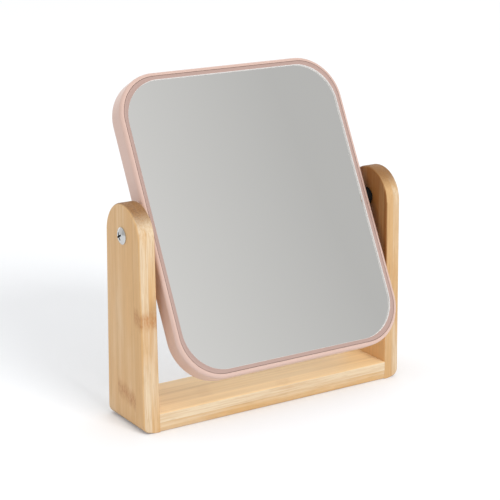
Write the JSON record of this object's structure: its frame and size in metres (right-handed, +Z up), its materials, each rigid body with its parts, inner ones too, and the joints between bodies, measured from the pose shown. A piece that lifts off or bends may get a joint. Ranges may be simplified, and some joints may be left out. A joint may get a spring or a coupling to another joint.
{
  "type": "swivel table mirror",
  "caption": "Table mirror with a rounded rectangular frame that turns on two screws between the posts of a bamboo stand.",
  "frame": {"origin": "middle of the stand's footprint, on the surface that it stands on", "axes": "+X to the right across the posts, -Y the front that the glass faces, +Z up"},
  "size_m": [0.2046, 0.104, 0.2166],
  "materials": {
    "bamboo": "satin lacquered laminated bamboo",
    "dowel_wood": "plain beech",
    "plated_steel": "bright nickel plate",
    "black_rubber": "matt black",
    "brass": "turned brass",
    "pink_plastic": "satin dusty pink moulding",
    "mirror_glass": "silvered glass",
    "foam_tape": "white foam mounting tape"
  },
  "bodies": {
    "stand": {"base_board": "bamboo", "left_post": "bamboo", "right_post": "bamboo", "left_dowels": "dowel_wood", "right_dowels": "dowel_wood"},
    "mirror": {"left_pivot_screw": "plated_steel", "right_pivot_screw": "plated_steel", "left_spacer": "black_rubber", "right_spacer": "black_rubber", "left_insert": "brass", "right_insert": "brass", "mirror_frame": "pink_plastic", "front_bezel": "pink_plastic", "rear_bezel": "pink_plastic", "front_glass": "mirror_glass", "rear_glass": "mirror_glass", "front_glass_tape": "foam_tape", "rear_glass_tape": "foam_tape"}
  },
  "joints": [
    {"name": "mirror_tilt", "type": "hinge", "parent": "stand", "child": "mirror", "pos_m": [0, 0, 0.12485], "axis": [1, 0, 0], "continuous": true}
  ]
}
